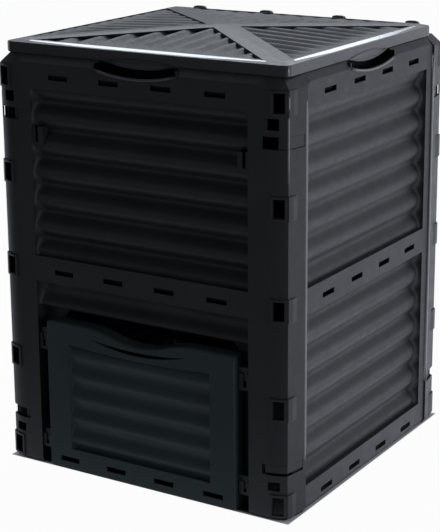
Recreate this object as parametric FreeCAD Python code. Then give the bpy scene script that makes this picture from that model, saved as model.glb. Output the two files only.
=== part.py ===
import FreeCAD, Part
import math
import os

from FreeCAD import Vector

os.makedirs("parts", exist_ok=True)

# Overall size of the four walls
width = 610.0
depth = 610.0
wall_top = 772.0
skin = 3.5
fit_gap = 0.3

# Rounded corner pillars: an arc from the flat face to a crease, then a slanting strip on the side
corner_radius = 60.0
corner_flat = 43.0
crease_turn = math.radians(35.0)
wrap = 60.0
wrap_proud = 3.0
wrap_gap = 0.5
foot_round = 8.0
foot_inset = 6.0

# Sloping shoulder and top land that carry the lid, heights measured down from the wall top
face_drop = 12.3
pillar_drop = 17.5
shoulder_run = 17.0
rim_land = 13.0
hinge_land = 35.0
rim_lip_height = 27.0
shoulder_step_start = 65.0
shoulder_step_end = 47.0
side_step_length = 14.0

# Corrugated fields recessed in the walls, margins measured from the corners and the wall top
field_margin = 80.0
side_front_margin = 64.0
side_back_margin = 86.0
upper_field_drop = 57.5
upper_field_bottom = 406.5
lower_field_bottom = 48.0
lower_field_top = 359.5
ridge_depth = 10.0
end_valley_depth = 26.0
side_valley_depth = 21.0
upper_pitch = 50.0
upper_ridge = 414.0
lower_pitch = 52.0
lower_ridge = 58.0

# Bends of one wave as shares of its pitch: six flats on the walls, four on the lid
wall_bends = [0, 1 / 8, 3 / 8, 1 / 2, 5 / 8, 7 / 8]
lid_bends = [1 / 8, 3 / 8, 5 / 8, 7 / 8]

# Vent slots in the bands
vent_margin = 143.0
vent_count = 4
vent_length = 42.0
vent_height = 9.5
low_vents = 19.0
middle_vents = 380.0
high_vent_drop = 36.0

# Tall slots with raised rims and square slots in the pillars, measured in from the corner
tall_slot_inner = 33.0
tall_slot_outer = 13.0
tall_slot_height = 33.0
tall_slot_first = 27.8
tall_slot_drop = 40.2
tall_slot_count = 5
tall_rim_proud = 2.3
tall_rim_side = 8.5
tall_rim_end = 4.5
square_slot_depth = 30.0
high_square = (44.0, 23.0)
high_square_drops = (85.0, 66.0)
low_square = (42.0, 20.0)
low_square_levels = (56.0, 72.0)

# Long windows that run round each corner, and what of the side wall shows in them
window_start = 53.0
window_end = 52.0
top_window_drops = (117.0, 96.0)
bottom_window = (84.0, 103.0)
tongue_gap = 0.4
tongue_margin = 8.0
tongue_reach = 49.0
top_tongue_reach = 26.0
top_tongue_flush = 23.5
top_tongue_slit = 1.0
bottom_tongue_flush = 45.5
bottom_tongue_slit = 5.0
flange_skin = 3.0
flange_overlap = 1.5

# Finger scoops below the lid
scoop_half = 83.0
scoop_drop = 23.0
scoop_back = 22.0
scoop_lip = 3.5
scoop_lip_proud = 2.0

# Doorway behind the hatch door
doorway_margin = 40.0
doorway_bottom = 12.0
doorway_top = 300.0
doorway_corner = 10.0
plate_depth = 34.0
header_bottom = 311.5
header_depth = 13.0
sill_height = 2.7
sill_front = 7.0

# Pockets that hold the hooks of the hatch door
pocket_width = 22.0
pocket_wall = 3.0
pocket_front = 4.0
pocket_back = 30.0
pocket_slot = 6.0
lower_pockets = [(34.0, 59.0), (227.0, 258.0)]
upper_pocket_drops = (103.5, 69.5)

# Hatch door
door_side_gap = 1.5
door_top = 289.0
door_front = 7.0
door_thickness = 27.4
door_corner = 9.0
door_foot_corner = 4.0
door_bevel = 2.5
dip_half = 118.0
dip_depth = 19.0
door_field_margin = 50.5
door_field_bottom = 46.0
door_field_top = 250.0
door_field_sag = 6.5
door_field_ridge = 3.0
door_field_valley = 10.0
door_rib_pitch = 41.0
grip_half = 103.0
grip_end_height = 268.5
grip_upper_sag = 8.5
grip_lower_sag = 15.5
door_vent_margin = 45.5
door_vent_level = 23.7
hook_gap = 3.5
hook_height = 9.5
hook_depth = 12.0
hook_front = 7.0
peg_depth = 10.0
peg_length = 15.0
peg_side = 3.0

# Lid, its plan measured in from the walls and its heights up from the wall top
lid_side_margin = 15.0
lid_front_margin = 17.0
lid_back_margin = 44.0
lid_corner = 14.0
lid_corner_steps = 6
skirt_rise = 19.0
bevel_width = 16.0
bevel_rise = 3.5
peak_rise = 12.5
band_width = 50.0
lid_rib_pitch = 37.0
lid_rib_crest = 2.0
lid_rib_trough = 9.0
lid_field_wall = 2.5
tab_half = 75.0
tab_drop = 11.0

# Hinges along the back of the lid
hinge_margin = 22.0
hinge_rise = 12.5
hinge_end_margins = [50.0, 208.0]
arm_width = 15.0
arm_height = 11.0
knuckle_half = 9.0
ear_thickness = 4.0
ear_half = 8.0
ear_gap = 0.4
pin_radius = 3.0
pin_clearance = 0.05
pin_far_half = 2.1
pin_head_half = 4.5
pin_head = 2.0
pin_tip = 1.5

# Worked out from the sizes above
half_x = width / 2
half_y = depth / 2
face_y = -half_y
side_face_y = -(half_x - wrap_proud)
wrap_end_y = -(half_y - wrap)
land_top = wall_top - skin
face_top = wall_top - face_drop
pillar_top = wall_top - pillar_drop
field_half = half_x - field_margin
upper_field_top = wall_top - upper_field_drop
high_vents = wall_top - high_vent_drop
scoop_bottom = wall_top - scoop_drop
top_window = tuple(wall_top - drop for drop in top_window_drops)
upper_pocket = tuple(upper_field_top - drop for drop in upper_pocket_drops)
doorway_half = field_half - doorway_margin
pocket_inner = field_half - pocket_width
door_half = pocket_inner - door_side_gap
door_field_half = door_half - door_field_margin
lid_half = half_x - lid_side_margin
lid_front = -(half_y - lid_front_margin)
lid_back = half_y - lid_back_margin
skirt_top = wall_top + skirt_rise
bevel_top = skirt_top + bevel_rise
lid_peak = bevel_top + peak_rise
hinge_y = half_y - hinge_margin
hinge_z = wall_top + hinge_rise
beyond = 10.0
x_axis = Vector(1, 0, 0)
y_axis = Vector(0, 1, 0)
z_axis = Vector(0, 0, 1)


def box(x0, x1, y0, y1, z0, z1):
    return Part.makeBox(x1 - x0, y1 - y0, z1 - z0, Vector(x0, y0, z0))


def prism(points, direction):
    """A polygon pushed along a direction."""
    return Part.Face(Part.makePolygon(points + points[:1])).extrude(direction)


def cut_corner_bar(x0, x1, z0, z1, y0, y1, corner):
    """A bar along Y with its four long edges cut off."""
    outline = [
        (x0 + corner, z0), (x1 - corner, z0), (x1, z0 + corner), (x1, z1 - corner),
        (x1 - corner, z1), (x0 + corner, z1), (x0, z1 - corner), (x0, z0 + corner),
    ]
    return prism([Vector(x, y0, z) for x, z in outline], Vector(0, y1 - y0, 0))


def line(start, end):
    return Part.LineSegment(start, end).toShape()


def arc(start, middle, end):
    return Part.Arc(start, middle, end).toShape()


def mirrored_x(shape):
    return shape.mirror(Vector(0, 0, 0), x_axis)


def mirrored_y(shape):
    return shape.mirror(Vector(0, 0, 0), y_axis)


def both_sides(shapes):
    return shapes + [mirrored_x(shape) for shape in shapes]


# Plan outline of an end wall with its two pillars
arc_x = half_x - corner_flat
arc_y = -(half_y - corner_radius)
crease = Vector(arc_x + corner_radius * math.sin(crease_turn),
                arc_y - corner_radius * math.cos(crease_turn), 0)
strip = Vector(half_x, wrap_end_y, 0) - crease
strip_normal = Vector(strip.y, -strip.x, 0) / strip.Length
strip_turn = math.atan2(strip_normal.x, -strip_normal.y)


def wall_outline(inset, back, z, inner=False):
    """The outer outline moved inward by inset and closed by a straight line at y = back.

    Inner surfaces have two flats in place of the arc."""
    radius = corner_radius - inset
    reach = corner_radius * math.cos(strip_turn - crease_turn) - inset
    turn = strip_turn - math.acos(reach / radius)

    def on_arc(angle):
        return Vector(arc_x + radius * math.sin(angle), arc_y - radius * math.cos(angle), z)

    end_x = crease.x + (-inset - (back - crease.y) * strip_normal.y) / strip_normal.x
    right = [Vector(end_x, back, z), on_arc(turn), on_arc(turn / 2), on_arc(0)]
    left = [Vector(-point.x, point.y, z) for point in reversed(right)]
    if inner:
        return Part.makePolygon(right + left + right[:1])
    return Part.Wire([
        line(right[0], right[1]),
        arc(right[1], right[2], right[3]),
        line(right[3], left[0]),
        arc(left[0], left[1], left[2]),
        line(left[2], left[3]),
        line(left[3], right[0]),
    ])


def slab(inset, back, z0, z1, inner=False):
    return Part.Face(wall_outline(inset, back, z0, inner)).extrude(Vector(0, 0, z1 - z0))


def tapered_slab(back, low, high, inner=False):
    """A slab whose inset changes from low to high, each given as (inset, z)."""
    wires = [wall_outline(inset, back, z, inner) for inset, z in (low, high)]
    return Part.makeLoft(wires, True, True)


def corner_ring(outer_inset, inner_inset, z0, z1):
    """The skin between two insets, over the whole of both corners."""
    inner_back = wrap_end_y + beyond
    outer = slab(outer_inset, wrap_end_y + wrap_gap + flange_overlap, z0, z1, outer_inset > skin)
    return outer.cut(slab(inner_inset, inner_back, z0, z1, True))


# Shoulder, which stands higher along the middle of each wall than at the pillars
def shoulder_section(x, front, back, edge_height):
    return Part.makePolygon([
        Vector(x, front, pillar_top - skin),
        Vector(x, front, edge_height),
        Vector(x, back, wall_top),
        Vector(x, back, pillar_top - skin),
        Vector(x, front, pillar_top - skin),
    ])


def raised_shoulder(front, back, start, end):
    middle = [shoulder_section(x, front, back, face_top) for x in (-start, start)]
    pieces = [Part.makeLoft(middle, True, True)]
    for side in (-1, 1):
        ramp = [
            shoulder_section(side * start, front, back, face_top),
            shoulder_section(side * end, front, back, pillar_top),
        ]
        pieces.append(Part.makeLoft(ramp, True, True))
    return pieces


def scoop_outline(grow, y0, y1):
    """The crescent below the lid's finger tab, grown by a margin and pushed along Y."""
    top = wall_top + beyond
    half = scoop_half + grow
    rise = face_top - scoop_bottom
    radius = (scoop_half ** 2 + rise ** 2) / (2 * rise) + grow
    centre = scoop_bottom - grow + radius
    edge_height = centre - math.sqrt(radius ** 2 - half ** 2)
    left = Vector(-half, y0, edge_height)
    bottom = Vector(0, y0, scoop_bottom - grow)
    right = Vector(half, y0, edge_height)
    outline = Part.Wire([
        arc(left, bottom, right),
        line(right, Vector(half, y0, top)),
        line(Vector(half, y0, top), Vector(-half, y0, top)),
        line(Vector(-half, y0, top), left),
    ])
    return Part.Face(outline).extrude(Vector(0, y1 - y0, 0))


def add_scoop(wall, front, back):
    """A finger scoop with its own pan behind the skin and a raised lip along its lower edge."""
    half = scoop_half + beyond
    pan = scoop_outline(skin, front + skin / 2, back + skin)
    pan = pan.common(box(-half, half, front, back + skin, 0, land_top))
    lip = scoop_outline(scoop_lip, front - scoop_lip_proud, front + skin)
    lip = lip.common(box(-half, half, front - beyond, front + skin, 0, face_top))
    wall = wall.fuse([pan, lip])
    return wall.cut(scoop_outline(0, front - beyond, back))


# Corrugated fields
def wave_sheet(origin, along, inward, pitch, height, count, bends, thickness, sweep):
    """A sheet bent along a cosine wave that starts near a crest, swept along its waves."""
    crest = math.cos(2 * math.pi * bends[0])
    places = []
    for index in range(count + 1):
        for bend in bends if index < count else bends[:1]:
            fall = height * (1 - math.cos(2 * math.pi * bend) / crest) / 2
            places.append(origin + along * (index + bend) * pitch + inward * fall)
    inner = [place + inward * thickness for place in reversed(places)]
    return prism(places + inner, sweep)


def corrugated_sheet(x0, x1, z0, z1, front, wave):
    """The floor of a recess, its waves running along X, trimmed to the recess."""
    ridge, pitch, shallow, deep = wave
    below = math.ceil((ridge - z0) / pitch)
    count = below + math.ceil((z1 - ridge) / pitch)
    start = Vector(x0, front + shallow, ridge - below * pitch)
    sheet = wave_sheet(start, z_axis, y_axis, pitch, deep - shallow, count, wall_bends, skin,
                       Vector(x1 - x0, 0, 0))
    return sheet.common(box(x0, x1, front, front + deep + skin, z0, z1))


def add_field(wall, x0, x1, z0, z1, front, wave):
    """Cut a recess in the skin and give it four reveals and a corrugated floor."""
    back = front + wave[3] + skin
    opening = box(x0, x1, front - beyond, back + beyond, z0, z1)
    tray = box(x0 - skin, x1 + skin, front, back, z0 - skin, z1 + skin)
    sheet = corrugated_sheet(x0 - skin / 2, x1 + skin / 2, z0 - skin / 2, z1 + skin / 2, front, wave)
    return wall.cut(opening).fuse([tray.cut(opening), sheet])


def vents(front, levels, outermost):
    """Rows of long slots through a skin, spread evenly between the outermost two."""
    cuts = []
    for z in levels:
        for index in range(vent_count):
            x = outermost * (2 * index / (vent_count - 1) - 1)
            cuts.append(box(x - vent_length / 2, x + vent_length / 2, front - beyond, front + beyond,
                            z - vent_height / 2, z + vent_height / 2))
    return cuts


upper_wave = (upper_ridge, upper_pitch, ridge_depth, end_valley_depth)
lower_wave = (lower_ridge, lower_pitch, ridge_depth, end_valley_depth)
side_upper_wave = (upper_ridge, upper_pitch, ridge_depth, side_valley_depth)
side_lower_wave = (lower_ridge, lower_pitch, ridge_depth, side_valley_depth)


# End walls, built as the front wall
def end_wall_shell():
    """Skin, shoulder, land and inner lip of a wall with both its pillars."""
    open_back = wrap_end_y + beyond
    outer = tapered_slab(wrap_end_y, (foot_inset, 0), (0, foot_round))
    outer = outer.fuse([
        slab(0, wrap_end_y, foot_round, pillar_top),
        tapered_slab(wrap_end_y, (0, pillar_top), (shoulder_run, wall_top)),
    ] + raised_shoulder(face_y, face_y + shoulder_run, half_x - shoulder_step_start,
                        half_x - shoulder_step_end))
    under_shoulder = shoulder_run + skin / 2
    hollow = [
        tapered_slab(open_back, (foot_inset + skin, 0), (skin, foot_round), True),
        slab(skin, open_back, foot_round, pillar_top - skin, True),
        tapered_slab(open_back, (skin, pillar_top - skin), (under_shoulder, land_top), True),
    ]
    shell = outer.cut(hollow)
    inner_edge = shoulder_run + rim_land
    land_plate = slab(under_shoulder, wrap_end_y, land_top, wall_top, True)
    lip = slab(inner_edge - skin, wrap_end_y, wall_top - rim_lip_height, wall_top, True)
    inside = slab(inner_edge, open_back + beyond, 0, wall_top, True)
    return shell.cut(inside).fuse([land_plate.cut(inside), lip.cut(inside)])


def tall_slot_levels():
    pitch = (wall_top - tall_slot_drop - tall_slot_first) / (tall_slot_count - 1)
    return [tall_slot_first + index * pitch for index in range(tall_slot_count)]


def add_pillar_slots(wall):
    """The tall slots with raised rims, the square slots and the long corner windows."""
    rims = []
    cuts = []
    inner = half_x - tall_slot_inner
    outer = half_x - tall_slot_outer
    rim_stock = slab(-tall_rim_proud, wrap_end_y, 0, face_top).cut(slab(0, wrap_end_y, 0, face_top))
    for z in tall_slot_levels():
        half = tall_slot_height / 2
        rim = box(inner - tall_rim_end, outer + tall_rim_side, face_y - beyond, wrap_end_y,
                  z - half - tall_rim_end, z + half + tall_rim_end)
        rims.append(rim.common(rim_stock))
        cuts.append(box(inner, outer, face_y - beyond, wrap_end_y, z - half, z + half))
    high_levels = [wall_top - drop for drop in high_square_drops]
    for (start, end), levels in ((high_square, high_levels), (low_square, low_square_levels)):
        cuts.append(box(half_x - start, half_x - end, face_y - beyond, face_y + square_slot_depth, *levels))
    for z0, z1 in (top_window, bottom_window):
        cuts.append(box(half_x - window_start, half_x + beyond, face_y - beyond, -(half_y - window_end),
                        z0, z1))
    return wall.fuse(both_sides(rims)).cut(both_sides(cuts))


# Doorway in the front wall
def header_sheet():
    """The lowest wave of the corrugation above the door, with a lip that turns in at its foot."""
    wave = (header_bottom, lower_pitch, header_depth, end_valley_depth)
    half = field_half + skin / 2
    sheet = corrugated_sheet(-half, half, header_bottom, lower_field_top + skin / 2, face_y, wave)
    lip = box(-half, half, face_y + header_depth, face_y + plate_depth + skin,
              header_bottom, header_bottom + skin)
    return sheet.fuse(lip)


def doorway_frame():
    """Reveals, header, frame plate and sill round the doorway."""
    back = face_y + plate_depth + skin
    recess = box(-field_half, field_half, face_y - beyond, back + beyond, -beyond, lower_field_top)
    surround = box(-field_half - skin, field_half + skin, face_y, back, 0, lower_field_top + skin)
    reveals = surround.cut(recess)
    plate = box(-field_half - skin / 2, field_half + skin / 2,
                face_y + plate_depth, back, 0, header_bottom + skin / 2)
    plate = plate.cut(cut_corner_bar(-doorway_half, doorway_half, doorway_bottom, doorway_top,
                                     face_y, 0, doorway_corner))
    sill = box(-field_half - skin / 2, field_half + skin / 2, face_y + sill_front, back, 0, sill_height)
    frame = reveals.fuse([header_sheet(), plate, sill])
    foot = tapered_slab(wrap_end_y, (foot_inset, 0), (0, foot_round))
    return frame.common(foot.fuse(slab(0, wrap_end_y, foot_round, face_top)))


def pocket(z0, z1, back):
    """A pocket open at the top, slotted in front, against the right side of the recess."""
    front = face_y + pocket_front
    outer = box(pocket_inner, field_half + skin / 2, front, back, z0, z1)
    room = box(pocket_inner + pocket_wall, field_half, front + pocket_wall, back - pocket_wall,
               z0 + pocket_wall, z1 + beyond)
    middle = (pocket_inner + pocket_wall + field_half) / 2
    slot = box(middle - pocket_slot / 2, middle + pocket_slot / 2, front - beyond, front + 2 * pocket_wall,
               z0 + 2 * pocket_wall, z1 + beyond)
    return outer.cut([room, slot])


def front_panel():
    wall = end_wall_shell()
    wall = add_scoop(wall, face_y, face_y + scoop_back)
    wall = add_field(wall, -field_half, field_half, upper_field_bottom, upper_field_top, face_y, upper_wave)
    opening = box(-field_half, field_half, face_y - beyond, face_y + 2 * foot_round,
                  -beyond, lower_field_top)
    wall = wall.cut(opening).fuse(doorway_frame())
    pockets = [pocket(z0, z1, face_y + plate_depth + skin / 2) for z0, z1 in lower_pockets]
    pockets.append(pocket(upper_pocket[0], upper_pocket[1], face_y + pocket_back))
    wall = wall.fuse(both_sides(pockets))
    wall = wall.cut(vents(face_y, [middle_vents, high_vents], half_x - vent_margin))
    return add_pillar_slots(wall)


# Hinges: ears on the back wall, arms on the lid, and a keyed pin through each pair of ears
def hinge_places():
    ends = [lid_half - margin for margin in hinge_end_margins]
    return sorted(ends + [-end for end in ends])


def hinge_block(x0, x1, half, foot):
    """An upright block round the hinge axis, its upper edges cut off."""
    corner = half * math.tan(math.pi / 8)
    outline = [
        (-half, foot), (half, foot), (half, hinge_z + corner),
        (corner, hinge_z + half), (-corner, hinge_z + half), (-half, hinge_z + corner),
    ]
    return prism([Vector(x0, hinge_y + y, z) for y, z in outline], Vector(x1 - x0, 0, 0))


def square_rod(x0, x1, half):
    return box(x0, x1, hinge_y - half, hinge_y + half, hinge_z - half, hinge_z + half)


def add_ears(wall):
    """Pairs of ears; the ear at a pin's head has the wide hole and the other the narrow one."""
    near = arm_width / 2 + ear_gap
    far = near + ear_thickness
    ears = []
    holes = []
    for x in hinge_places():
        ears.append(hinge_block(x - far, x - near, ear_half, land_top))
        ears.append(hinge_block(x + near, x + far, ear_half, land_top))
        holes.append(square_rod(x - far - beyond, x, pin_far_half + pin_clearance))
        holes.append(square_rod(x, x + far + beyond, pin_radius + pin_clearance))
    return wall.fuse(ears).cut(holes)


def hinge_pin(x):
    near = arm_width / 2 + ear_gap
    far = near + ear_thickness
    head_start = x + far + fit_gap
    shank = Part.makeCylinder(pin_radius, 2 * near, Vector(x - near, hinge_y, hinge_z), x_axis)
    return shank.fuse([
        square_rod(x - far - pin_tip, x - near, pin_far_half),
        square_rod(x + near, head_start, pin_radius),
        square_rod(head_start, head_start + pin_head, pin_head_half),
    ])


def add_arms(shell):
    """Arms behind the lid that end in bored knuckles."""
    arms = []
    bores = []
    for x in hinge_places():
        x0 = x - arm_width / 2
        arms.append(box(x0, x0 + arm_width, lid_back - skin / 2, hinge_y,
                        hinge_z - arm_height / 2, hinge_z + arm_height / 2))
        arms.append(hinge_block(x0, x0 + arm_width, knuckle_half, hinge_z - arm_height / 2))
        bores.append(Part.makeCylinder(pin_radius + pin_clearance, arm_width,
                                       Vector(x0, hinge_y, hinge_z), x_axis))
    return shell.fuse(arms).cut(bores)


def hinge_shelf():
    """The land carried further in along the back, where the lid is set forward."""
    half = half_x - shoulder_run - rim_land
    front = face_y + shoulder_run + rim_land - skin
    back = face_y + shoulder_run + hinge_land
    shelf = box(-half, half, front, back, land_top, wall_top)
    return shelf.fuse(box(-half, half, back - skin, back, wall_top - rim_lip_height, wall_top))


def back_panel():
    wall = end_wall_shell().fuse(hinge_shelf())
    wall = add_field(wall, -field_half, field_half, upper_field_bottom, upper_field_top, face_y, upper_wave)
    wall = add_field(wall, -field_half, field_half, lower_field_bottom, lower_field_top, face_y, lower_wave)
    wall = wall.cut(vents(face_y, [low_vents, middle_vents, high_vents], half_x - vent_margin))
    return add_ears(add_pillar_slots(wall).rotated(Vector(0, 0, 0), z_axis, 180))


# Side walls, whose edges slip under the wraps of the end walls
def side_wall_skin():
    """Built facing the front and turned afterwards."""
    half = -wrap_end_y - wrap_gap
    front = side_face_y
    shoulder_back = -half_x + shoulder_run
    inner = shoulder_back + rim_land
    profile = [
        (front + foot_inset, 0),
        (front, foot_round),
        (front, pillar_top),
        (shoulder_back, wall_top),
        (inner, wall_top),
        (inner, wall_top - rim_lip_height),
        (inner - skin, wall_top - rim_lip_height),
        (inner - skin, land_top),
        (shoulder_back + skin / 2, land_top),
        (front + skin, pillar_top - skin),
        (front + skin, foot_round),
        (front + foot_inset + skin, 0),
    ]
    skin_solid = prism([Vector(-half, y, z) for y, z in profile], Vector(2 * half, 0, 0))
    return skin_solid.fuse(raised_shoulder(front, shoulder_back, half - side_step_length, half))


def side_flange():
    """Strip along the edge of a side wall, behind the slanting strip of the pillar."""
    outer = skin + fit_gap
    ring = corner_ring(outer, outer + flange_skin, 2 * foot_round, wall_top - rim_lip_height)
    return ring.common(box(arc_x, half_x, crease.y + outer, 0, 0, wall_top))


def corner_tongue(window, reach, flush_from, slit):
    """What shows in a corner window: a shelf behind it, and a block that fills it flush.

    Reach and flush_from are measured in from the corner."""
    z0, z1 = window
    outer = skin + fit_gap
    shelf = corner_ring(outer, outer + flange_skin, z0 - tongue_margin, z1 + tongue_margin)
    shelf = shelf.common(box(half_x - reach, half_x, -half_y, 0, 0, wall_top))
    if flush_from is None:
        return [shelf]
    block = corner_ring(tongue_gap, outer + flange_skin, z0 + slit, z1 - tongue_gap)
    block = block.common(box(half_x - flush_from, half_x + beyond, -half_y - beyond,
                             -(half_y - window_end) - tongue_gap, 0, wall_top))
    return [shelf, block]


def side_panel(tongues):
    wall = side_wall_skin()
    wall = add_scoop(wall, side_face_y, -half_x + scoop_back)
    for z0, z1, wave in ((upper_field_bottom, upper_field_top, side_upper_wave),
                         (lower_field_bottom, lower_field_top, side_lower_wave)):
        wall = add_field(wall, -(half_y - side_front_margin), half_y - side_back_margin, z0, z1,
                         side_face_y, wave)
    wall = wall.cut(vents(side_face_y, [low_vents, middle_vents, high_vents], half_y - vent_margin))
    wall = wall.rotated(Vector(0, 0, 0), z_axis, 90)
    flange = side_flange()
    return wall.fuse([flange, mirrored_y(flange)] + tongues)


def right_panel():
    tongues = corner_tongue(top_window, top_tongue_reach, top_tongue_flush, top_tongue_slit)
    tongues += corner_tongue(bottom_window, tongue_reach, bottom_tongue_flush, bottom_tongue_slit)
    return side_panel(tongues)


def left_panel():
    tongues = corner_tongue(top_window, tongue_reach, None, 0)
    tongues += corner_tongue(bottom_window, tongue_reach, None, 0)
    return mirrored_x(side_panel(tongues))


# Hatch door
door_y = face_y - door_front
door_bottom = sill_height + fit_gap
dip_radius = (dip_half ** 2 + dip_depth ** 2) / (4 * dip_depth)


def door_outline(inset, y):
    """Door outline moved inward by inset, with the smooth dip in its top edge."""
    low = door_bottom + inset
    side = door_half - inset
    top = door_top - inset
    dip_centre = Vector(0, y, door_top - dip_depth + dip_radius)
    crown_centre = Vector(dip_half, y, door_top - dip_radius)
    toward = (crown_centre - dip_centre).normalize()
    joint = dip_centre + toward * (dip_radius + inset)
    crown_turn = math.asin(toward.x) / 2
    crown = crown_centre + Vector(-math.sin(crown_turn), 0, math.cos(crown_turn)) * (dip_radius - inset)
    crown_end = Vector(dip_half, y, top)
    corner_centre = Vector(door_half - door_corner, y, door_top - door_corner)
    corner_radius_here = door_corner - inset
    corner_arc = [corner_centre + Vector(math.sin(turn), 0, math.cos(turn)) * corner_radius_here
                  for turn in (0, math.pi / 4, math.pi / 2)]
    foot = [Vector(side, y, low + door_foot_corner), Vector(side - door_foot_corner, y, low)]

    def flip(point):
        return Vector(-point.x, point.y, point.z)

    right = [
        line(foot[1], foot[0]),
        line(foot[0], corner_arc[2]),
        arc(corner_arc[2], corner_arc[1], corner_arc[0]),
        line(corner_arc[0], crown_end),
        arc(crown_end, crown, joint),
    ]
    left = [
        arc(flip(joint), flip(crown), flip(crown_end)),
        line(flip(crown_end), flip(corner_arc[0])),
        arc(flip(corner_arc[0]), flip(corner_arc[1]), flip(corner_arc[2])),
        line(flip(corner_arc[2]), flip(foot[0])),
        line(flip(foot[0]), flip(foot[1])),
    ]
    dip = arc(joint, Vector(0, y, door_top - dip_depth - inset), flip(joint))
    return Part.Wire(right + [dip] + left + [line(flip(foot[1]), foot[1])])


def door_block(inset, y0, y1):
    return Part.Face(door_outline(inset, y0)).extrude(Vector(0, y1 - y0, 0))


def curved_top_bar(half, z0, z1, sag, y0, y1):
    """A bar along Y with straight sides and foot, and a top edge that sags to its middle."""
    corners = [Vector(-half, y0, z0), Vector(half, y0, z0), Vector(half, y0, z1), Vector(-half, y0, z1)]
    outline = Part.Wire([
        line(corners[0], corners[1]),
        line(corners[1], corners[2]),
        arc(corners[2], Vector(0, y0, z1 - sag), corners[3]),
        line(corners[3], corners[0]),
    ])
    return Part.Face(outline).extrude(Vector(0, y1 - y0, 0))


def crescent_grip():
    ends = [Vector(side * grip_half, door_y - beyond, grip_end_height) for side in (-1, 1)]
    arcs = []
    for sag in (grip_upper_sag, grip_lower_sag):
        middle = Vector(0, door_y - beyond, grip_end_height - sag)
        arcs.append(arc(ends[0], middle, ends[1]))
    return Part.Face(Part.Wire(arcs)).extrude(Vector(0, door_thickness, 0))


def door_hook(top_of_pocket):
    """Arm at the side of the door with a peg that hangs in the pocket."""
    front = door_y + door_front + hook_front
    z0 = top_of_pocket + fit_gap
    arm = box(door_half - skin, field_half - hook_gap, front, front + hook_depth, z0, z0 + hook_height)
    peg = box(pocket_inner + pocket_wall + peg_side, field_half - 2 * peg_side,
              front, front + peg_depth, z0 - peg_length, z0 + hook_height)
    return arm.fuse(peg)


def hatch_door():
    back = door_y + door_thickness
    bevel_wires = [door_outline(door_bevel, door_y), door_outline(0, door_y + door_bevel)]
    bevel = Part.makeLoft(bevel_wires, True, True)
    block = bevel.fuse(door_block(0, door_y + door_bevel, back))
    door = block.cut(door_block(skin, door_y + skin, back + beyond))
    wave = (door_field_bottom + door_rib_pitch / 2, door_rib_pitch, door_field_ridge, door_field_valley)
    floor_back = door_y + door_field_valley + skin
    opening = curved_top_bar(door_field_half, door_field_bottom, door_field_top, door_field_sag,
                             door_y - beyond, floor_back + beyond)
    tray = curved_top_bar(door_field_half + skin, door_field_bottom - skin, door_field_top + skin,
                          door_field_sag, door_y + skin / 2, floor_back)
    into = skin / 2
    sheet = corrugated_sheet(-door_field_half - into, door_field_half + into, door_field_bottom - into,
                             door_field_top + into, door_y, wave)
    limit = curved_top_bar(door_field_half + into, door_field_bottom - into, door_field_top + into,
                           door_field_sag, door_y, back)
    door = door.cut(opening).fuse(tray.cut(opening)).fuse(sheet.common(limit))
    door = door.cut([crescent_grip()] + vents(door_y, [door_vent_level], door_half - door_vent_margin))
    hooks = [door_hook(z1) for z0, z1 in lower_pockets]
    return door.fuse(both_sides(hooks))


# Lid
lid_middle_y = (lid_front + lid_back) / 2
lid_half_y = (lid_back - lid_front) / 2
skirt_bottom = wall_top + fit_gap


def lid_corners(inset, z):
    half_w = lid_half - inset
    half_d = lid_half_y - inset
    signs = ((-1, -1), (1, -1), (1, 1), (-1, 1))
    return [Vector(sx * half_w, lid_middle_y + sy * half_d, z) for sx, sy in signs]


def lid_rim(inset, z):
    """Outline of the skirt, each rounded corner a list of points."""
    radius = lid_corner - inset
    rim = []
    for index, centre in enumerate(lid_corners(lid_corner, z)):
        corner = []
        for step in range(lid_corner_steps + 1):
            turn = math.pi + (index + step / lid_corner_steps) * math.pi / 2
            corner.append(centre + Vector(math.cos(turn), math.sin(turn), 0) * radius)
        rim.append(corner)
    return rim


def polygon_face(points):
    return Part.Face(Part.makePolygon(points + points[:1]))


def lid_stack(inset, drop):
    """Skirt, bevel and pyramid as one solid, moved in and down from the outer skin."""
    foot = lid_rim(inset, skirt_bottom)
    rim = lid_rim(inset, skirt_top - drop)
    top = lid_corners(bevel_width, bevel_top - drop)
    peak = Vector(0, lid_middle_y, lid_peak - drop)
    faces = [polygon_face([point for corner in foot for point in corner])]
    for index in range(4):
        following = (index + 1) % 4
        low = foot[index] + foot[following][:1]
        high = rim[index] + rim[following][:1]
        for step in range(len(low) - 1):
            faces.append(polygon_face([low[step], low[step + 1], high[step + 1], high[step]]))
        for step in range(lid_corner_steps):
            faces.append(polygon_face([rim[index][step], rim[index][step + 1], top[index]]))
        faces.append(polygon_face([rim[index][-1], rim[following][0], top[following], top[index]]))
        faces.append(polygon_face([top[index], top[following], peak]))
    return Part.Solid(Part.Shell(faces))


def lid_field(base, half_base, margin):
    """Corners of a triangular field that faces the front, between two bands, middle at the origin."""
    reach = math.hypot(base, half_base)
    across = band_width / 2 - margin
    tip = across * reach / half_base
    inset = bevel_width + lid_field_wall - margin
    foot = base - inset
    half_foot = (foot - tip) * half_base / base
    return [Vector(-half_foot, -foot, 0), Vector(half_foot, -foot, 0), Vector(0, -tip, 0)]


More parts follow.
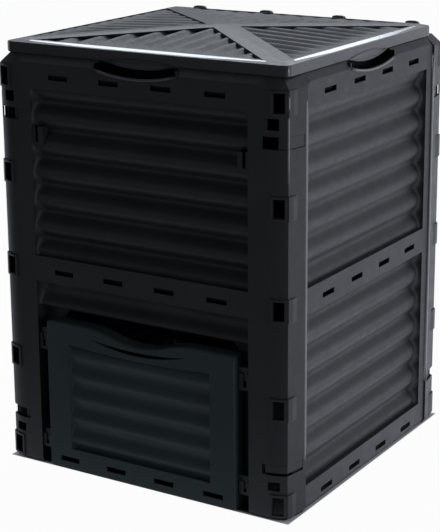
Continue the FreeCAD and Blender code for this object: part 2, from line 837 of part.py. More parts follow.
def lid_field_parts(base, half_base):
    """The opening, the wall round it and the ribbed floor of a triangular field."""
    def column(margin):
        foot = [point + Vector(0, 0, skirt_bottom) for point in lid_field(base, half_base, margin)]
        return prism(foot, Vector(0, 0, lid_peak + beyond - skirt_bottom))

    opening = column(0)
    around = column(lid_field_wall)
    length = base - bevel_width
    rise = lid_peak - bevel_top
    count = 2 * math.ceil(half_base / lid_rib_pitch)
    start = Vector(-count / 2 * lid_rib_pitch, -length, bevel_top - lid_rib_crest)
    floor = wave_sheet(start, x_axis, -z_axis, lid_rib_pitch, lid_rib_trough - lid_rib_crest, count,
                       lid_bends, lid_field_wall, Vector(0, length, 0))
    floor = floor.rotated(start, x_axis, math.degrees(math.atan2(rise, length)))
    return opening, around, floor.common(column(lid_field_wall / 2))


def finger_tab(front):
    """Tab that hangs from a skirt over its finger scoop, built for the front."""
    left = Vector(-tab_half, front, skirt_bottom)
    right = Vector(tab_half, front, skirt_bottom)
    bottom = Vector(0, front, skirt_bottom - tab_drop)
    up = Vector(0, 0, skin)
    outline = Part.Wire([
        arc(left, bottom, right),
        line(right, right + up),
        line(right + up, left + up),
        line(left + up, left),
    ])
    return Part.Face(outline).extrude(Vector(0, skin, 0))


def lid():
    outer = lid_stack(0, 0)
    hollow_foot = [point for corner in lid_rim(skin, skirt_bottom - beyond) for point in corner]
    shell = outer.cut([lid_stack(skin, skin), prism(hollow_foot, Vector(0, 0, 2 * beyond))])
    pieces = []
    openings = []
    for quarter in range(4):
        base = lid_half_y if quarter % 2 == 0 else lid_half
        half_base = lid_half if quarter % 2 == 0 else lid_half_y
        opening, around, ribs = lid_field_parts(base, half_base)
        wall = around.cut(opening)
        deep = lid_rib_trough + lid_field_wall
        wall = wall.cut(box(-half_base, half_base, -base, 0, skirt_bottom, bevel_top - deep))
        placed = []
        for shape in (opening, wall, ribs):
            shape = shape.rotated(Vector(0, 0, 0), z_axis, 90 * quarter)
            placed.append(shape.translated(Vector(0, lid_middle_y, 0)))
        openings.append(placed[0])
        pieces.append(placed[1].common(outer))
        pieces.append(placed[2])
    shell = shell.cut(openings).fuse(pieces)
    side_tab = finger_tab(-lid_half).rotated(Vector(0, 0, 0), z_axis, 90)
    return add_arms(shell.fuse([finger_tab(lid_front), side_tab, mirrored_x(side_tab)]))


shapes = {
    "front_panel": front_panel(),
    "back_panel": back_panel(),
    "left_panel": left_panel(),
    "right_panel": right_panel(),
    "lid": lid(),
    "hatch_door": hatch_door(),
}
for number, place in enumerate(hinge_places(), start=1):
    shapes["hinge_pin_%d" % number] = hinge_pin(place)

for name, shape in shapes.items():
    if name != "hatch_door":
        shape = shape.removeSplitter()
    print(name, shape.isValid(), len(shape.Solids), round(shape.Volume), len(shape.Faces))
    shape.exportStep("parts/%s.step" % name)
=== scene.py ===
import math

import bpy
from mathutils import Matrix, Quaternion, Vector


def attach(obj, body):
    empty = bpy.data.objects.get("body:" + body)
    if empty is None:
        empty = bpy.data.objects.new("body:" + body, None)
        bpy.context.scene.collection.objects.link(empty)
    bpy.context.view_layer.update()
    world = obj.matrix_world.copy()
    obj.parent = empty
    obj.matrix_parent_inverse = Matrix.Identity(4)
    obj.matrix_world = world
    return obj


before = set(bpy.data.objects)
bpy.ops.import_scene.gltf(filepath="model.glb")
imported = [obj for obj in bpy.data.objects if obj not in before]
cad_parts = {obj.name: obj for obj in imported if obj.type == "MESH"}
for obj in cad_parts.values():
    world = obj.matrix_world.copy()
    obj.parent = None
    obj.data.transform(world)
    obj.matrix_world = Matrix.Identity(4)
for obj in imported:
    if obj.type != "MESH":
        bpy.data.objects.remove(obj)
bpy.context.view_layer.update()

scene = bpy.context.scene
scene.view_settings.view_transform = "Standard"

# Light levels: matte surroundings, the dark side of the room, and the pale floor
ambient = 0.3
dark_room = 0.035
horizon_left = 0.10
backdrop_left = 0.32
backdrop_right = 1.05
overhead = 0.7
front_floor_left = 0.04
front_floor = 0.24
rear_floor = 1.6
floor_glow = 0.97
floor_white = 0.9
cool = (0.87, 0.905, 1.0)
white = (1.0, 1.0, 1.0)
lamp_colour = (0.86, 0.93, 1.0)

# Sizes of the bin that the shapes below share, in millimetres
mm = 0.001
face = 305.0
side_face = 302.0
door_face = 312.0
lid_middle = -13.5
skirt_front = 288.0
skirt_side = 290.0
bevel_top = 794.5
peak = 807.0
scoop_half = 83.0
scoop_depth = 10.7
scoop_bottom = 749.0


# Materials
def link(tree, source, target):
    tree.links.new(source, target)


def feed(tree, socket, value):
    """Set a socket to a number or a colour, or link it to another socket."""
    if isinstance(value, tuple):
        socket.default_value = value + (1.0,)
    elif isinstance(value, (int, float)):
        socket.default_value = value
    else:
        link(tree, value, socket)


def add_node(tree, kind, **inputs):
    node = tree.nodes.new(kind)
    for name, value in inputs.items():
        node.inputs[name.replace("_", " ")].default_value = value
    return node


def noise(tree, position, scale, detail, roughness):
    node = add_node(tree, "ShaderNodeTexNoise", Scale=scale, Detail=detail, Roughness=roughness)
    link(tree, position, node.inputs["Vector"])
    return node.outputs["Fac"]


def ramp(tree, value, low, high, start=0.0, end=1.0):
    """From start to end as the value goes from low to high, level outside that range."""
    node = add_node(tree, "ShaderNodeMapRange", From_Min=low, From_Max=high, To_Min=start,
                    To_Max=end)
    link(tree, value, node.inputs["Value"])
    return node.outputs["Result"]


def math_node(tree, operation, first, second=0.0):
    node = tree.nodes.new("ShaderNodeMath")
    node.operation = operation
    feed(tree, node.inputs[0], first)
    feed(tree, node.inputs[1], second)
    return node.outputs["Value"]


def mix_value(tree, factor, first, second):
    node = tree.nodes.new("ShaderNodeMix")
    link(tree, factor, node.inputs["Factor"])
    feed(tree, node.inputs[2], first)
    feed(tree, node.inputs[3], second)
    return node.outputs[0]


def mix_colour(tree, factor, first, second):
    node = tree.nodes.new("ShaderNodeMix")
    node.data_type = "RGBA"
    link(tree, factor, node.inputs["Factor"])
    feed(tree, node.inputs[6], first)
    feed(tree, node.inputs[7], second)
    return node.outputs[2]


def separate(tree, vector):
    """The x, y and z of a vector socket."""
    node = tree.nodes.new("ShaderNodeSeparateXYZ")
    link(tree, vector, node.inputs[0])
    return [node.outputs[axis] for axis in "XYZ"]


def all_of(tree, *tests):
    """1 where every test, given as operation, value and limit, holds, 0 elsewhere."""
    result = math_node(tree, *tests[0])
    for test in tests[1:]:
        result = math_node(tree, "MULTIPLY", result, math_node(tree, *test))
    return result


def ray_is(tree, kind):
    """1 for rays of this kind, 0 for all others."""
    return tree.nodes.new("ShaderNodeLightPath").outputs["Is %s Ray" % kind]


def moulded_plastic(name, dark, light, roughness, grain, specular, edge):
    """Injection moulded plastic: fine grain, faint flow clouds, and edges rounded by the mould."""
    material = bpy.data.materials.new(name)
    material.use_nodes = True
    tree = material.node_tree
    shader = tree.nodes["Principled BSDF"]
    shader.inputs["Specular IOR Level"].default_value = specular
    position = tree.nodes.new("ShaderNodeTexCoord").outputs["Object"]
    clouds = noise(tree, position, 7.0, 4.0, 0.6)
    scuffs = noise(tree, position, 45.0, 5.0, 0.7)
    fine = noise(tree, position, 1400.0, 2.0, 0.6)
    flow = math_node(tree, "MULTIPLY", ramp(tree, clouds, 0.3, 0.7), 0.7)
    speckle = math_node(tree, "MULTIPLY", ramp(tree, fine, 0.35, 0.75), 0.3)
    tone = math_node(tree, "ADD", flow, speckle)
    link(tree, mix_colour(tree, tone, dark, light), shader.inputs["Base Color"])
    link(tree, ramp(tree, scuffs, 0.3, 0.75, roughness - 0.05, roughness + 0.07),
         shader.inputs["Roughness"])
    bevel = add_node(tree, "ShaderNodeBevel", Radius=edge)
    bevel.samples = 4
    bump = add_node(tree, "ShaderNodeBump", Strength=grain, Distance=0.0004)
    link(tree, fine, bump.inputs["Height"])
    link(tree, bevel.outputs["Normal"], bump.inputs["Normal"])
    link(tree, bump.outputs["Normal"], shader.inputs["Normal"])
    return material


def masked(material, mask):
    """The tree, the shader and the mask's socket of a material."""
    tree = material.node_tree
    share = mask(tree, tree.nodes["Texture Coordinate"].outputs["Object"])
    return tree, tree.nodes["Principled BSDF"], share


def paint_shade(material, mask):
    """Painted shade: where the mask is 1, the colour is painted near black and the gloss is almost
    taken away.
    """
    tree, shader, share = masked(material, mask)
    gloss = shader.inputs["Specular IOR Level"].default_value
    link(tree, mix_value(tree, share, gloss, 0.02), shader.inputs["Specular IOR Level"])
    colour = shader.inputs["Base Color"].links[0].from_socket
    # The near-black colour here is painted shade for the recesses
    link(tree, mix_colour(tree, share, colour, (0.002, 0.002, 0.0025)),
         shader.inputs["Base Color"])


def polish(material, mask, roughness):
    """A coat of mirror finish where the mask is 1."""
    tree, shader, share = masked(material, mask)
    rough = shader.inputs["Roughness"].links[0].from_socket
    link(tree, mix_value(tree, share, rough, roughness), shader.inputs["Roughness"])
    shader.inputs["Coat Roughness"].default_value = roughness
    shader.inputs["Coat IOR"].default_value = 2.2
    link(tree, share, shader.inputs["Coat Weight"])


# Each with its darkest and lightest colour, roughness, grain, specular level and edge radius
soft_edge = 0.0012
crisp_edge = 0.0006
wall_plastic = moulded_plastic("wall_plastic", (0.010, 0.0105, 0.0115), (0.017, 0.0175, 0.019),
                               0.5, 0.35, 0.3, soft_edge)
lid_plastic = moulded_plastic("lid_plastic", (0.009, 0.0095, 0.0105), (0.016, 0.0165, 0.018),
                              0.31, 0.3, 0.42, soft_edge)
hatch_plastic = moulded_plastic("hatch_plastic", (0.013, 0.022, 0.022), (0.021, 0.034, 0.034),
                                0.5, 0.3, 0.2, soft_edge)
rim_plastic = moulded_plastic("rim_plastic", (0.010, 0.0105, 0.0115), (0.017, 0.0175, 0.019),
                              0.3, 0.1, 1.0, crisp_edge)
rib_plastic = moulded_plastic("rib_plastic", (0.010, 0.011, 0.012), (0.018, 0.019, 0.021),
                              0.42, 0.3, 0.22, soft_edge)
pin_plastic = moulded_plastic("pin_plastic", (0.012, 0.012, 0.012), (0.018, 0.018, 0.018),
                              0.4, 0.15, 0.5, crisp_edge)


def bevel_strip(tree, position):
    """1 on the sloping edge of the lid between the crossed bands, 0 elsewhere."""
    x, y, z = separate(tree, position)
    across = math_node(tree, "ABSOLUTE", x)
    along = math_node(tree, "ABSOLUTE", math_node(tree, "ADD", y, -lid_middle * mm))
    strips = []
    # Each strip reaches from inner out to middle, and narrows to tip over the second half to end
    for out, over, inner, middle, tip, end in (
            (along, across, 0.2600, 0.2700, 0.2640, 0.243),
            (across, along, 0.2755, 0.2860, 0.2795, 0.229)):
        outer = ramp(tree, over, end * 0.5, end, middle, tip)
        strips.append(all_of(tree, ("GREATER_THAN", out, inner), ("LESS_THAN", out, outer),
                             ("LESS_THAN", over, end)))
    above_skirt = math_node(tree, "GREATER_THAN", z, 0.7912)
    return math_node(tree, "MULTIPLY", math_node(tree, "MAXIMUM", *strips), above_skirt)


def painted_shade_mask(tree, position):
    """1 on the walls of the finger scoops and on what lies inside the pillars, where shade is
    painted in as near-black colour, 0 elsewhere.
    """
    x, y, z = separate(tree, position)
    across = math_node(tree, "ABSOLUTE", x)
    along = math_node(tree, "ABSOLUTE", y)
    scoop_edge = 0.0835
    scoop_height = (("GREATER_THAN", z, 0.7485), ("LESS_THAN", z, 0.7686))
    front_scoop = all_of(tree, *scoop_height, ("LESS_THAN", across, scoop_edge),
                         ("LESS_THAN", y, -0.27), ("GREATER_THAN", y, -0.3044))
    side_scoop = all_of(tree, *scoop_height, ("LESS_THAN", along, scoop_edge),
                        ("LESS_THAN", across, 0.3014))
    # A pillar's inside is a quarter disc about its centre, cut off before the wrapped strip
    right = math_node(tree, "SUBTRACT", across, 0.262)
    ahead = math_node(tree, "SUBTRACT", along, 0.245)
    squares = math_node(tree, "ADD", math_node(tree, "MULTIPLY", right, right),
                        math_node(tree, "MULTIPLY", ahead, ahead))
    pillar = all_of(tree, ("LESS_THAN", math_node(tree, "SQRT", squares), 0.0564),
                    ("GREATER_THAN", right, 0.0), ("LESS_THAN", right, 0.0335),
                    ("GREATER_THAN", ahead, 0.0),
                    ("GREATER_THAN", z, 0.010), ("LESS_THAN", z, 0.752))
    scoops = math_node(tree, "MAXIMUM", front_scoop, side_scoop)
    return math_node(tree, "MAXIMUM", scoops, pillar)


polish(lid_plastic, bevel_strip, 0.1)
# Painted shade: the scoops' walls and the pillars' insides get near-black colour in place of their
# shade
paint_shade(wall_plastic, painted_shade_mask)

finishes = {"lid": lid_plastic, "hatch_door": hatch_plastic}
for name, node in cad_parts.items():
    finish = pin_plastic if name.startswith("hinge_pin") else finishes.get(name, wall_plastic)
    if not node.material_slots:
        node.data.materials.append(finish)
    for material_slot in node.material_slots:
        material_slot.material = finish


# Pieces of the scene
def add_object(name, points, faces, finish):
    mesh = bpy.data.meshes.new(name)
    mesh.from_pydata(points, [], faces)
    mesh.materials.append(finish)
    piece = bpy.data.objects.new(name, mesh)
    scene.collection.objects.link(piece)
    return piece


def shell_piece(name, body, slot, finish, rows):
    """A closed thin shell from a grid of pairs, a front and a back point, in millimetres."""
    height = len(rows)
    width = len(rows[0])
    points = [Vector(pair[layer]) * mm for layer in (0, 1) for row in rows for pair in row]
    half = height * width
    faces = []
    for row in range(height - 1):
        for column in range(width - 1):
            a = row * width + column
            quad = (a, a + 1, a + width + 1, a + width)
            faces.append(quad)
            faces.append(tuple(half + corner for corner in reversed(quad)))
    rim = list(range(width))
    rim += [row * width + width - 1 for row in range(1, height)]
    rim += [(height - 1) * width + column for column in range(width - 2, -1, -1)]
    rim += [row * width for row in range(height - 2, 0, -1)]
    for a, b in zip(rim, rim[1:] + rim[:1]):
        faces.append((b, a, a + half, b + half))
    piece = add_object(name, points, faces, finish)
    piece.data.polygons.foreach_set("use_smooth", [True] * len(faces))
    piece.data.set_sharp_from_angle(angle=math.radians(50.0))
    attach(piece, body)


def outward(rows, mirror_x, mirror_y):
    """Rows of a grid turned round where it is mirrored once, so that it still faces outward."""
    return [row[::-1] for row in rows] if mirror_x * mirror_y < 0 else rows


def steps(start, end, size):
    count = max(1, round((end - start) / size))
    return [start + (end - start) * index / count for index in range(count + 1)]


def facing(side, distance):
    """A function that places u to the right, depth inward and z upward from a side's face."""
    def place(u, depth, z):
        out = distance - depth
        return {"front": (u, -out, z), "back": (-u, out, z), "right": (out, u, z),
                "left": (-out, -u, z)}[side]
    return place


walls = {"front": facing("front", face), "back": facing("back", face),
         "right": facing("right", side_face), "left": facing("left", side_face)}
skirts = {"front": facing("front", skirt_front), "right": facing("right", skirt_side),
          "left": facing("left", skirt_side)}

# Smooth waves over the flats of the corrugated walls. They lie wave_lift before the flats, reach
# into the field's edges by tuck, and never come nearer to the wall's face than least_depth
wave_lift = 0.8
rows_per_wave = 16.0
tuck = 0.6
fillet_share = 0.68
least_fillet = 2.0
fillet_turns = (0.0, 15.0, 30.0, 45.0, 60.0, 75.0, 90.0)
sag_columns = 12
ridge_blend = 2.0
least_depth = 0.3


def wave_depth(along, ridge, pitch, shallow, deep):
    swing = 1.0 - math.cos(2.0 * math.pi * (along - ridge) / pitch)
    return shallow + (deep - shallow) * swing / 2.0


def smooth_least(first, second, blend):
    overlap = max(blend - abs(first - second), 0.0) / blend
    return min(first, second) - overlap * overlap * blend / 4.0


def wave_piece(name, u0, u1, z0, z1, wave, place, ridge_drop=0.0, body="bin",
               slot="wall_plastic", finish=wall_plastic, sag=0.0):
    """Waves up a field, rounded off as they rise to the reveals at both ends, more where deep.

    A wave is the height of a ridge, the pitch, and the depths of ridges and valleys. The ridges
    widen downward by ridge_drop, and the top edge sags in the middle by sag."""
    pitch = wave[1]
    middle = (u0 + u1) / 2.0
    half = (u1 - u0) / 2.0
    rows = []
    for share in steps(0.0, 1.0, pitch / rows_per_wave / (z1 - z0)):
        level = z0 - tuck + (z1 - z0 + 2.0 * tuck) * share
        fillet = max(fillet_share * wave_depth(level, *wave), least_fillet)
        bend = [(fillet * (1.0 - math.sin(math.radians(turn))),
                 fillet * (1.0 - math.cos(math.radians(turn)))) for turn in fillet_turns]
        columns = [(u0 - tuck, fillet)]
        columns += [(u0 + inward, rise) for inward, rise in reversed(bend)]
        if sag:
            inner = u1 - u0 - 2.0 * fillet
            columns += [(u0 + fillet + inner * index / sag_columns, 0.0)
                        for index in range(1, sag_columns)]
        columns += [(u1 - inward, rise) for inward, rise in bend]
        columns += [(u1 + tuck, fillet)]
        row = []
        for u, rise in columns:
            top = z1 + tuck - sag * (1.0 - ((u - middle) / half) ** 2)
            z = z0 - tuck + (top - z0 + tuck) * share
            behind = wave_depth(z, *wave)
            depth = smooth_least(behind, wave_depth(z + ridge_drop, *wave), ridge_blend)
            row.append((place(u, max(depth - wave_lift - rise, least_depth), z),
                        place(u, behind + wave_lift, z)))
        rows.append(row)
    shell_piece(name, body, slot, finish, rows)


end_field = (-225.0, 225.0)
upper_span = (406.5, 714.5)
lower_span = (48.0, 359.5)
upper_drop = 6.0
side_upper_drop = 5.0
lower_drop = 8.5
end_upper_wave = (414.0, 50.0, 10.0, 26.0)
end_lower_wave = (58.0, 52.0, 10.0, 26.0)
side_upper_wave = (414.0, 50.0, 10.0, 21.0)
side_lower_wave = (58.0, 52.0, 10.0, 21.0)
header_wave = (311.5, 52.0, 13.0, 26.0)
hatch_wave = (66.5, 41.0, 3.0, 10.0)
wave_piece("front_upper_waves", *end_field, *upper_span, end_upper_wave, walls["front"],
           upper_drop)
wave_piece("front_header_waves", *end_field, 311.5, 359.5, header_wave, walls["front"])
wave_piece("back_upper_waves", *end_field, *upper_span, end_upper_wave, walls["back"], upper_drop)
wave_piece("back_lower_waves", *end_field, *lower_span, end_lower_wave, walls["back"], lower_drop)
for side, field in (("right", (-241.0, 219.0)), ("left", (-219.0, 241.0))):
    wave_piece(side + "_upper_waves", *field, *upper_span, side_upper_wave, walls[side],
               side_upper_drop)
    wave_piece(side + "_lower_waves", *field, *lower_span, side_lower_wave, walls[side],
               lower_drop)
wave_piece("hatch_waves", -151.0, 151.0, 46.0, 250.0, hatch_wave, facing("front", door_face),
           body="hatch", slot="hatch_plastic", finish=hatch_plastic, sag=6.5)

# Smooth ribs over the flats of the lid, each field built for the front and turned. The stations
# along a rib stand closer together near its foot and near the band
rib_pitch = 37.0
rib_crest = 0.7
rib_trough = 8.2
rib_thickness = 2.5
columns_per_half_rib = 5.0
band_half = 25.0
foot_margin = 18.5
bevel_margin = 16.0
least_rib = 0.3
rib_power = 1.2
foot_least = 0.15
foot_run = 55.0
foot_roll = 1.6
foot_roll_run = 2.5
band_run = 6.0
band_power = 2.2
near_foot = (0.0, 1.0, 2.0, 4.0, 8.0, 14.0, 22.0, 34.0, 50.0, 80.0, 120.0, 180.0)
near_band = (0.0, 0.7, 1.6, 3.0, 5.0, 8.0, 12.0)


def rib_field(name, base, half_base, quarter):
    """One triangle of ribs. They deepen away from the foot and drop off beside the bands."""
    reach = math.hypot(base, half_base)
    tip = band_half * reach / half_base
    foot = base - foot_margin
    half_foot = (foot - tip) * half_base / base
    slope_base = base - bevel_margin
    turn = math.radians(90.0 * quarter)
    count = 2 * math.ceil(half_foot / rib_pitch * columns_per_half_rib)
    rows = []
    for index in range(count + 1):
        u = half_foot * (2.0 * index / count - 1.0)
        length = max((half_foot - abs(u)) * base / half_base, least_rib)
        stations = [min(gap, length) for gap in near_foot]
        stations += [length - min(gap, length) for gap in near_band]
        rib = ((1.0 - math.cos(2.0 * math.pi * u / rib_pitch)) / 2.0) ** rib_power
        row = []
        for v in sorted(stations):
            y = -foot + v
            surface = bevel_top + (peak - bevel_top) * (slope_base + y) / slope_base
            foot_fade = min(1.0, foot_least + v / foot_run)
            foot_drop = foot_roll * max(0.0, 1.0 - v / foot_roll_run) ** 2
            band_gap = (length - v) * half_base / reach
            band_drop = max(0.0, 1.0 - band_gap / band_run) ** band_power
            depth = rib_crest + (rib_trough - rib_crest) * rib * foot_fade + foot_drop
            depth += (rib_trough - depth) * band_drop
            turned = (u * math.cos(turn) - y * math.sin(turn),
                      u * math.sin(turn) + y * math.cos(turn) + lid_middle)
            row.append(((*turned, surface - depth),
                        (*turned, surface - rib_trough - rib_thickness)))
        rows.append(row)
    shell_piece(name, "lid", "lid_plastic", rib_plastic, rows[::-1])


for quarter, side in enumerate(("front", "right", "back", "left")):
    sizes = (274.5, 290.0) if quarter % 2 == 0 else (290.0, 274.5)
    rib_field("lid_%s_ribs" % side, *sizes, quarter)


# Rounded rims that catch the light along the corners, faded out over their two run-out lengths
bead_step = 12.0
bead_back = (1.6, -0.5)
least_share = 0.02


def bead(name, path, z0, z1, mirror_x, mirror_y, run_out):
    """A thin strip whose plan is pushed out from a base line, fading into it at the ends."""
    rows = []
    for z in steps(z0, z1, bead_step):
        share = min(1.0, (z - z0) / run_out[0] + least_share, (z1 - z) / run_out[1] + least_share)
        row = []
        for (x, y), (base_x, base_y) in path:
            row.append(((mirror_x * (base_x + (x - base_x) * share),
                         mirror_y * (base_y + (y - base_y) * share), z),
                        (mirror_x * (base_x - bead_back[0]),
                         mirror_y * (base_y - bead_back[1]), z)))
        rows.append(row)
    shell_piece(name, "bin", "wall_plastic", rim_plastic, outward(rows, mirror_x, mirror_y))


wrap_edge = -245.0
wrap_slope = 0.1753


def wrap_line(y):
    """Half the bin's width at y: the slanting strip, then the side wall behind its edge."""
    if y < wrap_edge + 0.1:
        return face - wrap_slope * max(wrap_edge - y, 0.0)
    return side_face


wrap_bead = [(304.0, -250.0), (304.55, -248.8), (304.9, -247.4), (304.98, -245.8),
             (304.9, -244.4), (304.5, -243.2), (303.7, -242.4), (302.7, -242.0), (301.8, -241.8)]
wrap_path = [((x, y), (wrap_line(y) - 0.2, y)) for x, y in wrap_bead]
crease_bead = [(294.4, -295.6), (295.5, -295.3), (296.4, -294.7), (296.95, -293.9),
               (297.2, -292.9), (297.0, -291.8)]
crease_base = [(294.2, -295.3), (295.0, -294.7), (295.7, -294.2), (296.2, -293.6),
               (296.3, -292.9), (296.4, -291.8)]
crease_path = list(zip(crease_bead, crease_base))
slot_crease_path = [((x + 1.75, y - 1.4), (base_x + 1.75, base_y - 1.4))
                    for (x, y), (base_x, base_y) in crease_path]
for mirror_x, side in ((1, "right"), (-1, "left")):
    for mirror_y, end in ((1, "front"), (-1, "back")):
        corner = "%s_%s" % (end, side)
        for rim, path, z0, z1, run_out in (
                ("_wrap_rim", wrap_path, 88.0, 742.0, (30.0, 30.0)),
                ("_crease_rim", crease_path, 540.0, 711.5, (160.0, 0.5)),
                ("_slot_crease_rim", slot_crease_path, 711.0, 752.6, (0.5, 0.5))):
            bead(corner + rim, path, z0, z1, mirror_x, mirror_y, run_out)

# Heights of the lid's corner rims with how far they may stand out there, then their profile
corner_levels = ((772.5, -0.6), (774.0, 1.0), (789.0, 1.0), (790.6, -0.6))
corner_profile = ((-46.0, -0.3), (-42.0, 0.6), (-36.0, 1.0), (-30.0, 1.0), (-24.0, 0.6),
                  (-20.0, -0.3))
corner_radius = 14.0
corner_inner = 12.6
corner_x = 276.0


def lid_corner_rim(name, mirror_x, mirror_y, centre_y):
    """A slim polished strip down a rounded corner of the lid's skirt."""
    rows = []
    for z, limit in corner_levels:
        row = []
        for turn, proud in corner_profile:
            angle = math.radians(turn)
            row.append([(mirror_x * (corner_x + reach * math.cos(angle)),
                         mirror_y * reach * math.sin(angle) + centre_y, z)
                        for reach in (corner_radius + min(proud, limit), corner_inner)])
        rows.append(row)
    shell_piece(name, "lid", "lid_plastic", rim_plastic, outward(rows, mirror_x, mirror_y))


for mirror_x, side in ((1, "right"), (-1, "left")):
    lid_corner_rim("lid_front_%s_rim" % side, mirror_x, 1, -274.0)
    lid_corner_rim("lid_back_%s_rim" % side, mirror_x, -1, 247.0)

# Bright lips of the finger scoops, and the dished finger tabs of the lid
scoop_radius = (scoop_half ** 2 + scoop_depth ** 2) / (2 * scoop_depth)
lip_profile = ((-0.4, -1.2), (-0.4, 1.4), (0.2, 2.3), (1.2, 2.7), (2.4, 2.6), (3.5, 2.0),
               (4.0, 1.0), (4.0, -0.8))
tab_profile = ((0.0, -0.3), (0.03, 0.9), (0.09, 1.5), (0.18, 1.3), (0.32, 0.6), (0.5, 0.25),
               (0.68, 0.5), (0.82, 1.1), (0.92, 1.5), (0.98, 1.1), (1.0, -0.3))
lip_steps = 14.0
lip_sunk = -1.2
lip_back = 1.4
tab_half = 75.0
tab_middle = 772.3
tab_rise = 7.2
tab_drop = 11.0
tab_over = 0.2
tab_back = 1.0


def scoop_rim(name, place):
    """A lip along the arc of a scoop. Its profile is how far outside the arc and how proud."""
    centre = scoop_bottom + scoop_radius
    reach = math.asin(scoop_half / scoop_radius)
    rows = []
    for angle in steps(-reach, reach, reach / lip_steps):
        fade = min(1.0, (1.0 - abs(angle) / reach) * 8.0 + 0.1)
        row = []
        for outside_arc, proud in lip_profile:
            radius = scoop_radius + outside_arc
            u = radius * math.sin(angle)
            z = centre - radius * math.cos(angle)
            row.append((place(u, -max(proud * fade, lip_sunk), z), place(u, lip_back, z)))
        rows.append(row)
    shell_piece(name, "bin", "wall_plastic", rim_plastic, rows)


def tab_dish(name, place):
    """A dish between two arcs. Its profile is the share of the way down and how proud it is."""
    rows = []
    for along in steps(-1.0, 1.0, 0.05):
        curve = 1.0 - along * along
        top = tab_middle + tab_rise * curve + tab_over
        bottom = tab_middle - tab_drop * curve - tab_over
        fade = min(1.0, curve * 4.0)
        row = []
        for share, proud in tab_profile:
            z = top + (bottom - top) * share
            row.append((place(tab_half * along, -proud * fade, z),
                        place(tab_half * along, tab_back, z)))
        rows.append(row)
    shell_piece(name, "lid", "lid_plastic", lid_plastic, rows[::-1])


for side, skirt in skirts.items():
    scoop_rim(side + "_scoop_rim", walls[side])
    tab_dish(side + "_tab_dish", skirt)


# Plates inside the walls that stand in for the shade inside the bin, so that the glowing floor does
# not show through: sloping hoods behind the vents, flat plates behind the square slots
def block_piece(name, blocks, finish):
    """Prisms in one piece, each from eight corners in millimetres, lower four first."""
    points = []
    faces = []
    for corners in blocks:
        start = len(points)
        points += [Vector(corner) * mm for corner in corners]
        for face_corners in ((3, 2, 1, 0), (4, 5, 6, 7), (0, 1, 5, 4), (1, 2, 6, 5), (2, 3, 7, 6),
                             (3, 0, 4, 7)):
            faces.append(tuple(start + corner for corner in face_corners))
    piece = add_object(name, points, faces, finish)
    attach(piece, "bin")


# Depths are measured inward from the wall's face, hood_over upward from the middle of a vent
hood_half = 24.0
hood_near = 3.3
hood_far = 12.5
hood_fall = 11.5
hood_thickness = 1.5
hood_over = 6.75
slot_plate_near = 10.0
slot_plate_far = 12.0
slot_plate_spots = ((254.0, 290.0, 49.0, 79.0), (254.0, 289.0, 680.0, 713.0))
vent_columns = (-162.0, -54.0, 54.0, 162.0)
vent_levels = (19.0, 380.0, 736.0)


def hood(place, middle_u, vent):
    """A plate that starts above a vent's middle at the wall and falls away inward."""
    corners = []
    for drop in (hood_thickness, 0.0):
        for u, depth, fall in ((-hood_half, hood_near, 0.0), (hood_half, hood_near, 0.0),
                               (hood_half, hood_far, hood_fall), (-hood_half, hood_far, hood_fall)):
            corners.append(place(middle_u + u, depth, vent + hood_over - drop - fall))
    return corners


def slot_shade_plate(place, inner, outer, z0, z1):
    """A flat plate that closes a square slot from inside, standing in for the shade behind it."""
    return [place(u, depth, z) for z in (z0, z1)
            for u, depth in ((inner, slot_plate_near), (outer, slot_plate_near), (outer, slot_plate_far),
                             (inner, slot_plate_far))]


# These plates put dark plastic where the openings would show only the bin's shaded inside
for side, place in walls.items():
    levels = vent_levels[1:] if side == "front" else vent_levels
    shade_plates = [hood(place, u, level) for level in levels for u in vent_columns]
    if side == "back":
        for mirror in (1, -1):
            for inner, outer, z0, z1 in slot_plate_spots:
                shade_plates.append(slot_shade_plate(place, mirror * inner, mirror * outer, z0, z1))
    block_piece(side + "_guards", shade_plates, wall_plastic)


# Stage
def light_path_level(tree, unseen, glossy, seen):
    """One level for matte surfaces, one for their gloss, one for the camera and for glass."""
    level = mix_value(tree, ray_is(tree, "Glossy"), unseen, glossy)
    direct = math_node(tree, "MAXIMUM", ray_is(tree, "Camera"), ray_is(tree, "Transmission"))
    return mix_value(tree, direct, level, seen)


world = bpy.data.worlds.new("studio")
scene.world = world
world.use_nodes = True
tree = world.node_tree
background = tree.nodes["Background"]
link(tree, mix_colour(tree, ray_is(tree, "Camera"), cool, white), background.inputs["Color"])
ray_x, ray_y, ray_z = separate(tree, tree.nodes.new("ShaderNodeTexCoord").outputs["Generated"])
rear_left = ramp(tree, ray_z, 0.05, 0.25, horizon_left, backdrop_left)
rear = mix_value(tree, ramp(tree, ray_x, -0.5, 0.3), rear_left, backdrop_right)
backdrop = mix_value(tree, ramp(tree, ray_y, -0.1, 0.4), dark_room, rear)
ceiling = math_node(tree, "MULTIPLY", ramp(tree, ray_z, 0.6, 0.85, 0.0, overhead),
                    ramp(tree, ray_y, -0.05, 0.15))
room = math_node(tree, "ADD", backdrop, ceiling)
link(tree, light_path_level(tree, ambient, room, 1.0), background.inputs["Strength"])

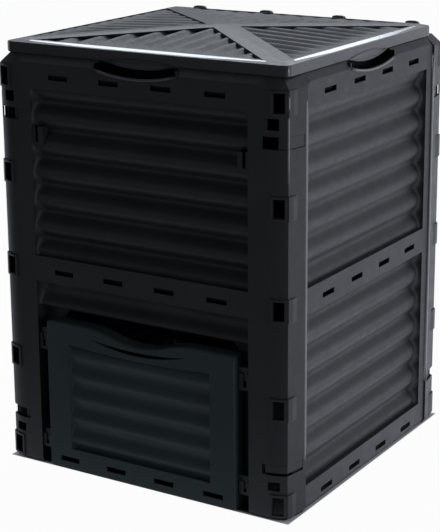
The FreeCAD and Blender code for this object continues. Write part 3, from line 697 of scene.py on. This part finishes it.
# The floor, dark under the bin and before it in reflections, and glowing elsewhere
floor_reach = 30.0
floor_level = -0.0005
footprint = 0.303
floor_paint = bpy.data.materials.new("floor_paint")
floor_paint.use_nodes = True
floor = add_object("floor", [(-floor_reach, -floor_reach, 0), (floor_reach, -floor_reach, 0),
                             (floor_reach, floor_reach, 0), (-floor_reach, floor_reach, 0)],
                   [(0, 1, 2, 3)], floor_paint)
floor.location.z = floor_level
tree = floor_paint.node_tree
tree.nodes.remove(tree.nodes["Principled BSDF"])
place_x, place_y, _ = separate(tree, tree.nodes.new("ShaderNodeTexCoord").outputs["Object"])
from_middle = math_node(tree, "MAXIMUM", math_node(tree, "ABSOLUTE", place_x),
                        math_node(tree, "ABSOLUTE", place_y))
outside = math_node(tree, "GREATER_THAN", from_middle, footprint)
behind = ramp(tree, place_y, -0.6, 0.1)
matte = tree.nodes.new("ShaderNodeBsdfDiffuse")
link(tree, mix_value(tree, ray_is(tree, "Glossy"), floor_white,
                     ramp(tree, behind, 0.0, 1.0, dark_room, floor_white)),
     matte.inputs["Color"])
glow = tree.nodes.new("ShaderNodeEmission")
link(tree, mix_value(tree, ray_is(tree, "Glossy"), 1.0, rear_floor), glow.inputs["Strength"])
link(tree, mix_colour(tree, ray_is(tree, "Camera"), cool, white), glow.inputs["Color"])
before = ramp(tree, place_x, -3.0, -0.6, front_floor_left / rear_floor, front_floor / rear_floor)
seen = light_path_level(tree, 0.0, mix_value(tree, behind, before, 1.0), floor_glow)
blend = tree.nodes.new("ShaderNodeMixShader")
link(tree, math_node(tree, "MULTIPLY", seen, outside), blend.inputs["Fac"])
link(tree, matte.outputs[0], blend.inputs[1])
link(tree, glow.outputs[0], blend.inputs[2])
link(tree, blend.outputs[0], tree.nodes["Material Output"].inputs["Surface"])


# Light
def softbox(name, place, target, size, power):
    data = bpy.data.lights.new(name, "AREA")
    data.color = lamp_colour
    data.shape = "RECTANGLE"
    data.size, data.size_y = size
    data.energy = power
    lamp = bpy.data.objects.new(name, data)
    scene.collection.objects.link(lamp)
    lamp.location = place
    lamp.visible_camera = False
    lamp.rotation_mode = "QUATERNION"
    lamp.rotation_quaternion = (Vector(target) - Vector(place)).to_track_quat("-Z", "Y")


bin_middle = (0.0, 0.0, 0.4)
lid_top = (0.0, 0.0, 0.79)
softbox("right_softbox", (3.5, -0.7, 0.7), bin_middle, (0.8, 1.4), 26.0)
softbox("front_softbox", (-1.5, -3.6, 1.0), bin_middle, (2.0, 1.0), 4.0)
softbox("back_softbox", (-1.85, 3.05, 2.65), lid_top, (2.5, 1.25), 25.0)

# Camera, at the photograph's viewing angle
azimuth = math.radians(31.917)
elevation = math.radians(-15.001)
roll = math.radians(0.438)
toward = Vector((-math.sin(azimuth) * math.cos(elevation),
                 math.cos(azimuth) * math.cos(elevation), math.sin(elevation)))
camera_data = bpy.data.cameras.new("camera")
camera = bpy.data.objects.new("camera", camera_data)
scene.collection.objects.link(camera)
scene.camera = camera
camera_data.sensor_width = 36.0
camera_data.lens = 110.06
camera_data.shift_y = -0.0677
camera.location = (1.5651, -2.5437, 1.2137)
camera.rotation_mode = "QUATERNION"
camera.rotation_quaternion = Quaternion(toward, roll) @ toward.to_track_quat("-Z", "Y")
